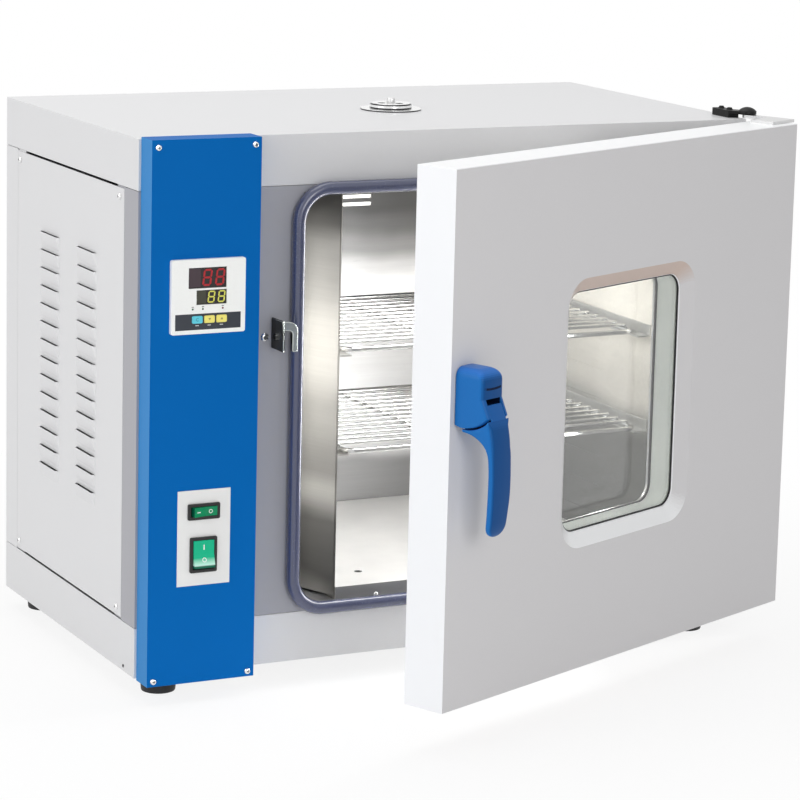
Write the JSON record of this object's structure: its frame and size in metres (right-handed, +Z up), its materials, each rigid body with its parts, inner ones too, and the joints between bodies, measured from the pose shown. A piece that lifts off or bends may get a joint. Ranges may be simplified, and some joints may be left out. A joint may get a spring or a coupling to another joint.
{
  "type": "drying oven",
  "caption": "Bench drying oven with a hinged window door partly open on a steel chamber with wire shelves, a blue control panel and a pull handle.",
  "frame": {"origin": "on the floor, at the middle of the front left foot's flat underside", "axes": "+Z up, +X to the right seen from the front, +Y towards the back; the door side faces -Y"},
  "size_m": [0.6738, 0.6571, 0.5316],
  "materials": {
    "white_enamel": "fine powder coat, satin",
    "grey_enamel": "fine powder coat, satin",
    "blue_enamel": "fine powder coat, satin",
    "stainless": "brushed",
    "steel_wire": "bright drawn wire",
    "zinc_steel": "zinc plated",
    "chrome": "polished",
    "heater_sheath": "heat tinted",
    "mineral_wool": "fibrous",
    "silicone": "semi-gloss silicone",
    "black_rubber": "matt",
    "controller_white": "fine texture",
    "display_dark": "smoked window",
    "strip_dark": "printed film",
    "key_cyan": "soft",
    "key_yellow": "soft",
    "lamp_red": "clear lens",
    "black_plastic": "fine texture",
    "green_rocker": "translucent, lit from inside",
    "black_enamel": "satin",
    "blue_plastic": "moulded, semi-gloss",
    "vent_plastic": "moulded",
    "knob_light": "moulded",
    "glass": "clear toughened glass",
    "spacer_grey": "satin"
  },
  "bodies": {
    "cabinet": {"base_tray": "white_enamel", "feet": "black_rubber", "foot_screws": "zinc_steel", "top_cover": "white_enamel", "front_frame": "grey_enamel", "rear_panel": "white_enamel", "left_side_panel": "white_enamel", "right_side_panel": "white_enamel", "panel_screws": "chrome", "partition": "zinc_steel", "chamber_liner": "stainless", "insulation": "mineral_wool", "left_duct_panel": "stainless", "right_duct_panel": "stainless", "shelf_rails": "stainless", "floor_plate": "stainless", "heaters": "heater_sheath", "fan_motor": "zinc_steel", "temperature_probe": "chrome", "door_gasket": "silicone", "control_panel": "blue_enamel", "panel_posts": "zinc_steel", "controller_case": "controller_white", "display_windows": "display_dark", "key_strip": "strip_dark", "indicator_lamps": "lamp_red", "switch_plate": "white_enamel", "heating_switch_housing": "black_plastic", "power_switch_housing": "black_plastic", "latch_keeper": "chrome", "keeper_screw": "chrome", "vent_base": "vent_plastic", "hinge_arm": "black_enamel", "hinge_bracket": "black_enamel", "hinge_screws": "chrome", "hinge_pins": "zinc_steel", "power_inlet": "black_plastic"},
    "door": {"door_pan": "grey_enamel", "door_inner_panel": "stainless", "door_insulation": "mineral_wool", "front_glass": "glass", "rear_glass": "glass", "window_spacer": "spacer_grey", "window_seals": "black_rubber", "handle_base": "blue_plastic", "handle_pin": "zinc_steel", "hinge_straps": "zinc_steel"},
    "handle": {"handle_lever": "blue_plastic", "latch_rod": "zinc_steel"},
    "fan": {"fan_impeller": "zinc_steel"},
    "vent_shutter": {"vent_cap": "vent_plastic", "vent_knob": "knob_light"},
    "set_button": {"set_key": "key_cyan"},
    "down_button": {"down_key": "key_yellow"},
    "up_button": {"up_key": "key_yellow"},
    "heating_switch": {"heating_switch_rocker": "green_rocker"},
    "power_switch": {"power_switch_rocker": "green_rocker"},
    "lower_shelf": {"lower_shelf": "steel_wire"},
    "upper_shelf": {"upper_shelf": "steel_wire"}
  },
  "joints": [
    {"name": "door_hinge", "type": "hinge", "parent": "cabinet", "child": "door", "pos_m": [0.612, -0.016, 0.28], "axis": [0, 0, 1], "range_deg": [-23.8, 146.2]},
    {"name": "handle_pivot", "type": "hinge", "parent": "door", "child": "handle", "pos_m": [0.17464, -0.29338, 0.326], "axis": [0.915, 0.4035, 0], "range_deg": [0, 12.5]},
    {"name": "fan_spin", "type": "hinge", "parent": "cabinet", "child": "fan", "pos_m": [0.117, 0.168, 0.27], "axis": [1, 0, 0], "continuous": true},
    {"name": "vent_turn", "type": "hinge", "parent": "cabinet", "child": "vent_shutter", "pos_m": [0.2965, 0.14, 0.524], "axis": [0, 0, 1], "range_deg": [0, 60]},
    {"name": "heating_rocker", "type": "hinge", "parent": "cabinet", "child": "heating_switch", "pos_m": [0.0228, -0.047, 0.18], "axis": [0, 0, 1], "range_deg": [-16, 0]},
    {"name": "power_rocker", "type": "hinge", "parent": "cabinet", "child": "power_switch", "pos_m": [0.0228, -0.047, 0.1394], "axis": [1, 0, 0], "range_deg": [0, 16]},
    {"name": "set_press", "type": "slide", "parent": "cabinet", "child": "set_button", "axis": [0, 1, 0], "range_m": [0, 0.0007], "stiffness_N_per_m": 1500, "springref_m": -0.0003},
    {"name": "down_press", "type": "slide", "parent": "cabinet", "child": "down_button", "axis": [0, 1, 0], "range_m": [0, 0.0007], "stiffness_N_per_m": 1500, "springref_m": -0.0003},
    {"name": "up_press", "type": "slide", "parent": "cabinet", "child": "up_button", "axis": [0, 1, 0], "range_m": [0, 0.0007], "stiffness_N_per_m": 1500, "springref_m": -0.0003},
    {"name": "lower_shelf_slide", "type": "slide", "parent": "cabinet", "child": "lower_shelf", "axis": [0, 1, 0], "range_m": [-0.022, 0.043]},
    {"name": "upper_shelf_slide", "type": "slide", "parent": "cabinet", "child": "upper_shelf", "axis": [0, 1, 0], "range_m": [-0.032, 0.033]}
  ]
}
